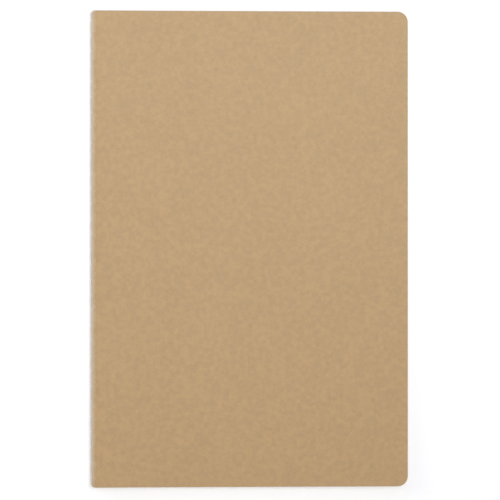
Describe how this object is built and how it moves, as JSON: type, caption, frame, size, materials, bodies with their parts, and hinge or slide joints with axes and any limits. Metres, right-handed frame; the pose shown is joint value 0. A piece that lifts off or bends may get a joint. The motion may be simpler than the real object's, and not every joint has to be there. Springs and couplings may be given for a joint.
{
  "type": "pocket notebook",
  "caption": "Slim soft-cover pocket notebook with a kraft card cover, round fore-edge corners and a sewn fold.",
  "frame": {"origin": "underside of the back cover, in the middle of the closed notebook", "axes": "+Z out of the front cover, +Y along the spine towards the head, +X from the spine towards the fore-edge"},
  "size_m": [0.1, 0.15, 0.0047],
  "materials": {
    "kraft_card": "uncoated kraft card, matt, fine fibres",
    "paper": "uncoated cream writing paper, matt",
    "thread": "twisted cotton thread, matt"
  },
  "bodies": {
    "back_cover": {"back_cover": "kraft_card"},
    "front_cover": {"front_cover": "kraft_card"},
    "spine": {"cover_spine": "kraft_card", "needle_thread": "thread", "bobbin_thread": "thread", "sheet_fold_01": "paper", "sheet_fold_02": "paper", "sheet_fold_03": "paper", "sheet_fold_04": "paper", "sheet_fold_05": "paper", "sheet_fold_06": "paper", "sheet_fold_07": "paper", "sheet_fold_08": "paper", "sheet_fold_09": "paper", "sheet_fold_10": "paper", "sheet_fold_11": "paper", "sheet_fold_12": "paper", "sheet_fold_13": "paper", "sheet_fold_14": "paper", "sheet_fold_15": "paper", "sheet_fold_16": "paper"},
    "back_leaf_01": {"back_leaf_01": "paper"},
    "front_leaf_01": {"front_leaf_01": "paper"},
    "back_leaf_02": {"back_leaf_02": "paper"},
    "front_leaf_02": {"front_leaf_02": "paper"},
    "back_leaf_03": {"back_leaf_03": "paper"},
    "front_leaf_03": {"front_leaf_03": "paper"},
    "back_leaf_04": {"back_leaf_04": "paper"},
    "front_leaf_04": {"front_leaf_04": "paper"},
    "back_leaf_05": {"back_leaf_05": "paper"},
    "front_leaf_05": {"front_leaf_05": "paper"},
    "back_leaf_06": {"back_leaf_06": "paper"},
    "front_leaf_06": {"front_leaf_06": "paper"},
    "back_leaf_07": {"back_leaf_07": "paper"},
    "front_leaf_07": {"front_leaf_07": "paper"},
    "back_leaf_08": {"back_leaf_08": "paper"},
    "front_leaf_08": {"front_leaf_08": "paper"},
    "back_leaf_09": {"back_leaf_09": "paper"},
    "front_leaf_09": {"front_leaf_09": "paper"},
    "back_leaf_10": {"back_leaf_10": "paper"},
    "front_leaf_10": {"front_leaf_10": "paper"},
    "back_leaf_11": {"back_leaf_11": "paper"},
    "front_leaf_11": {"front_leaf_11": "paper"},
    "back_leaf_12": {"back_leaf_12": "paper"},
    "front_leaf_12": {"front_leaf_12": "paper"},
    "back_leaf_13": {"back_leaf_13": "paper"},
    "front_leaf_13": {"front_leaf_13": "paper"},
    "back_leaf_14": {"back_leaf_14": "paper"},
    "front_leaf_14": {"front_leaf_14": "paper"},
    "back_leaf_15": {"back_leaf_15": "paper"},
    "front_leaf_15": {"front_leaf_15": "paper"},
    "back_leaf_16": {"back_leaf_16": "paper"},
    "front_leaf_16": {"front_leaf_16": "paper"}
  },
  "joints": [
    {"name": "front_cover_turn", "type": "hinge", "parent": "back_cover", "child": "front_cover", "pos_m": [-0.04749, 0, 0.00236], "axis": [0, -1, 0], "range_deg": [0, 179.5]},
    {"name": "spine_turn", "type": "hinge", "parent": "back_cover", "child": "spine", "pos_m": [-0.04749, 0, 0.00236], "axis": [0, -1, 0], "range_deg": [0, 89.75]},
    {"name": "back_leaf_01_turn", "type": "hinge", "parent": "back_cover", "child": "back_leaf_01", "pos_m": [-0.04749, 0, 0.00236], "axis": [0, -1, 0], "range_deg": [0, 0.4]},
    {"name": "front_leaf_01_turn", "type": "hinge", "parent": "back_leaf_01", "child": "front_leaf_01", "pos_m": [-0.04749, 0, 0.00236], "axis": [0, -1, 0], "range_deg": [0, 178.7]},
    {"name": "back_leaf_02_turn", "type": "hinge", "parent": "back_cover", "child": "back_leaf_02", "pos_m": [-0.04749, 0, 0.00236], "axis": [0, -1, 0], "range_deg": [0, 1.1]},
    {"name": "front_leaf_02_turn", "type": "hinge", "parent": "back_leaf_02", "child": "front_leaf_02", "pos_m": [-0.04749, 0, 0.00236], "axis": [0, -1, 0], "range_deg": [0, 177.3]},
    {"name": "back_leaf_03_turn", "type": "hinge", "parent": "back_cover", "child": "back_leaf_03", "pos_m": [-0.04749, 0, 0.00236], "axis": [0, -1, 0], "range_deg": [0, 1.8]},
    {"name": "front_leaf_03_turn", "type": "hinge", "parent": "back_leaf_03", "child": "front_leaf_03", "pos_m": [-0.04749, 0, 0.00236], "axis": [0, -1, 0], "range_deg": [0, 175.9]},
    {"name": "back_leaf_04_turn", "type": "hinge", "parent": "back_cover", "child": "back_leaf_04", "pos_m": [-0.04749, 0, 0.00236], "axis": [0, -1, 0], "range_deg": [0, 2.6]},
    {"name": "front_leaf_04_turn", "type": "hinge", "parent": "back_leaf_04", "child": "front_leaf_04", "pos_m": [-0.04749, 0, 0.00236], "axis": [0, -1, 0], "range_deg": [0, 174.3]},
    {"name": "back_leaf_05_turn", "type": "hinge", "parent": "back_cover", "child": "back_leaf_05", "pos_m": [-0.04749, 0, 0.00236], "axis": [0, -1, 0], "range_deg": [0, 3.5]},
    {"name": "front_leaf_05_turn", "type": "hinge", "parent": "back_leaf_05", "child": "front_leaf_05", "pos_m": [-0.04749, 0, 0.00236], "axis": [0, -1, 0], "range_deg": [0, 172.5]},
    {"name": "back_leaf_06_turn", "type": "hinge", "parent": "back_cover", "child": "back_leaf_06", "pos_m": [-0.04749, 0, 0.00236], "axis": [0, -1, 0], "range_deg": [0, 4.5]},
    {"name": "front_leaf_06_turn", "type": "hinge", "parent": "back_leaf_06", "child": "front_leaf_06", "pos_m": [-0.04749, 0, 0.00236], "axis": [0, -1, 0], "range_deg": [0, 170.5]},
    {"name": "back_leaf_07_turn", "type": "hinge", "parent": "back_cover", "child": "back_leaf_07", "pos_m": [-0.04749, 0, 0.00236], "axis": [0, -1, 0], "range_deg": [0, 5.5]},
    {"name": "front_leaf_07_turn", "type": "hinge", "parent": "back_leaf_07", "child": "front_leaf_07", "pos_m": [-0.04749, 0, 0.00236], "axis": [0, -1, 0], "range_deg": [0, 168.5]},
    {"name": "back_leaf_08_turn", "type": "hinge", "parent": "back_cover", "child": "back_leaf_08", "pos_m": [-0.04749, 0, 0.00236], "axis": [0, -1, 0], "range_deg": [0, 6.5]},
    {"name": "front_leaf_08_turn", "type": "hinge", "parent": "back_leaf_08", "child": "front_leaf_08", "pos_m": [-0.04749, 0, 0.00236], "axis": [0, -1, 0], "range_deg": [0, 166.5]},
    {"name": "back_leaf_09_turn", "type": "hinge", "parent": "back_cover", "child": "back_leaf_09", "pos_m": [-0.04749, 0, 0.00236], "axis": [0, -1, 0], "range_deg": [0, 7.6]},
    {"name": "front_leaf_09_turn", "type": "hinge", "parent": "back_leaf_09", "child": "front_leaf_09", "pos_m": [-0.04749, 0, 0.00236], "axis": [0, -1, 0], "range_deg": [0, 164.3]},
    {"name": "back_leaf_10_turn", "type": "hinge", "parent": "back_cover", "child": "back_leaf_10", "pos_m": [-0.04749, 0, 0.00236], "axis": [0, -1, 0], "range_deg": [0, 8.7]},
    {"name": "front_leaf_10_turn", "type": "hinge", "parent": "back_leaf_10", "child": "front_leaf_10", "pos_m": [-0.04749, 0, 0.00236], "axis": [0, -1, 0], "range_deg": [0, 162.1]},
    {"name": "back_leaf_11_turn", "type": "hinge", "parent": "back_cover", "child": "back_leaf_11", "pos_m": [-0.04749, 0, 0.00236], "axis": [0, -1, 0], "range_deg": [0, 9.8]},
    {"name": "front_leaf_11_turn", "type": "hinge", "parent": "back_leaf_11", "child": "front_leaf_11", "pos_m": [-0.04749, 0, 0.00236], "axis": [0, -1, 0], "range_deg": [0, 159.9]},
    {"name": "back_leaf_12_turn", "type": "hinge", "parent": "back_cover", "child": "back_leaf_12", "pos_m": [-0.04749, 0, 0.00236], "axis": [0, -1, 0], "range_deg": [0, 11]},
    {"name": "front_leaf_12_turn", "type": "hinge", "parent": "back_leaf_12", "child": "front_leaf_12", "pos_m": [-0.04749, 0, 0.00236], "axis": [0, -1, 0], "range_deg": [0, 157.5]},
    {"name": "back_leaf_13_turn", "type": "hinge", "parent": "back_cover", "child": "back_leaf_13", "pos_m": [-0.04749, 0, 0.00236], "axis": [0, -1, 0], "range_deg": [0, 12.2]},
    {"name": "front_leaf_13_turn", "type": "hinge", "parent": "back_leaf_13", "child": "front_leaf_13", "pos_m": [-0.04749, 0, 0.00236], "axis": [0, -1, 0], "range_deg": [0, 155.1]},
    {"name": "back_leaf_14_turn", "type": "hinge", "parent": "back_cover", "child": "back_leaf_14", "pos_m": [-0.04749, 0, 0.00236], "axis": [0, -1, 0], "range_deg": [0, 13.5]},
    {"name": "front_leaf_14_turn", "type": "hinge", "parent": "back_leaf_14", "child": "front_leaf_14", "pos_m": [-0.04749, 0, 0.00236], "axis": [0, -1, 0], "range_deg": [0, 152.5]},
    {"name": "back_leaf_15_turn", "type": "hinge", "parent": "back_cover", "child": "back_leaf_15", "pos_m": [-0.04749, 0, 0.00236], "axis": [0, -1, 0], "range_deg": [0, 14.7]},
    {"name": "front_leaf_15_turn", "type": "hinge", "parent": "back_leaf_15", "child": "front_leaf_15", "pos_m": [-0.04749, 0, 0.00236], "axis": [0, -1, 0], "range_deg": [0, 150.1]},
    {"name": "back_leaf_16_turn", "type": "hinge", "parent": "back_cover", "child": "back_leaf_16", "pos_m": [-0.04749, 0, 0.00236], "axis": [0, -1, 0], "range_deg": [0, 16]},
    {"name": "front_leaf_16_turn", "type": "hinge", "parent": "back_leaf_16", "child": "front_leaf_16", "pos_m": [-0.04749, 0, 0.00236], "axis": [0, -1, 0], "range_deg": [0, 147.5]}
  ],
  "couplings": [
    {"joint": "spine_turn", "follows": "front_cover_turn", "ratio": 0.5},
    {"joint": "back_leaf_01_turn", "follows": "front_cover_turn", "ratio": 0.0022284},
    {"joint": "front_leaf_01_turn", "follows": "front_cover_turn", "ratio": 0.99554},
    {"joint": "back_leaf_02_turn", "follows": "front_cover_turn", "ratio": 0.0061281},
    {"joint": "front_leaf_02_turn", "follows": "front_cover_turn", "ratio": 0.98774},
    {"joint": "back_leaf_03_turn", "follows": "front_cover_turn", "ratio": 0.010028},
    {"joint": "front_leaf_03_turn", "follows": "front_cover_turn", "ratio": 0.97994},
    {"joint": "back_leaf_04_turn", "follows": "front_cover_turn", "ratio": 0.014485},
    {"joint": "front_leaf_04_turn", "follows": "front_cover_turn", "ratio": 0.97103},
    {"joint": "back_leaf_05_turn", "follows": "front_cover_turn", "ratio": 0.019499},
    {"joint": "front_leaf_05_turn", "follows": "front_cover_turn", "ratio": 0.961},
    {"joint": "back_leaf_06_turn", "follows": "front_cover_turn", "ratio": 0.02507},
    {"joint": "front_leaf_06_turn", "follows": "front_cover_turn", "ratio": 0.94986},
    {"joint": "back_leaf_07_turn", "follows": "front_cover_turn", "ratio": 0.030641},
    {"joint": "front_leaf_07_turn", "follows": "front_cover_turn", "ratio": 0.93872},
    {"joint": "back_leaf_08_turn", "follows": "front_cover_turn", "ratio": 0.036212},
    {"joint": "front_leaf_08_turn", "follows": "front_cover_turn", "ratio": 0.92758},
    {"joint": "back_leaf_09_turn", "follows": "front_cover_turn", "ratio": 0.04234},
    {"joint": "front_leaf_09_turn", "follows": "front_cover_turn", "ratio": 0.91532},
    {"joint": "back_leaf_10_turn", "follows": "front_cover_turn", "ratio": 0.048468},
    {"joint": "front_leaf_10_turn", "follows": "front_cover_turn", "ratio": 0.90306},
    {"joint": "back_leaf_11_turn", "follows": "front_cover_turn", "ratio": 0.054596},
    {"joint": "front_leaf_11_turn", "follows": "front_cover_turn", "ratio": 0.89081},
    {"joint": "back_leaf_12_turn", "follows": "front_cover_turn", "ratio": 0.061281},
    {"joint": "front_leaf_12_turn", "follows": "front_cover_turn", "ratio": 0.87744},
    {"joint": "back_leaf_13_turn", "follows": "front_cover_turn", "ratio": 0.067966},
    {"joint": "front_leaf_13_turn", "follows": "front_cover_turn", "ratio": 0.86407},
    {"joint": "back_leaf_14_turn", "follows": "front_cover_turn", "ratio": 0.075209},
    {"joint": "front_leaf_14_turn", "follows": "front_cover_turn", "ratio": 0.84958},
    {"joint": "back_leaf_15_turn", "follows": "front_cover_turn", "ratio": 0.081894},
    {"joint": "front_leaf_15_turn", "follows": "front_cover_turn", "ratio": 0.83621},
    {"joint": "back_leaf_16_turn", "follows": "front_cover_turn", "ratio": 0.089136},
    {"joint": "front_leaf_16_turn", "follows": "front_cover_turn", "ratio": 0.82173}
  ]
}
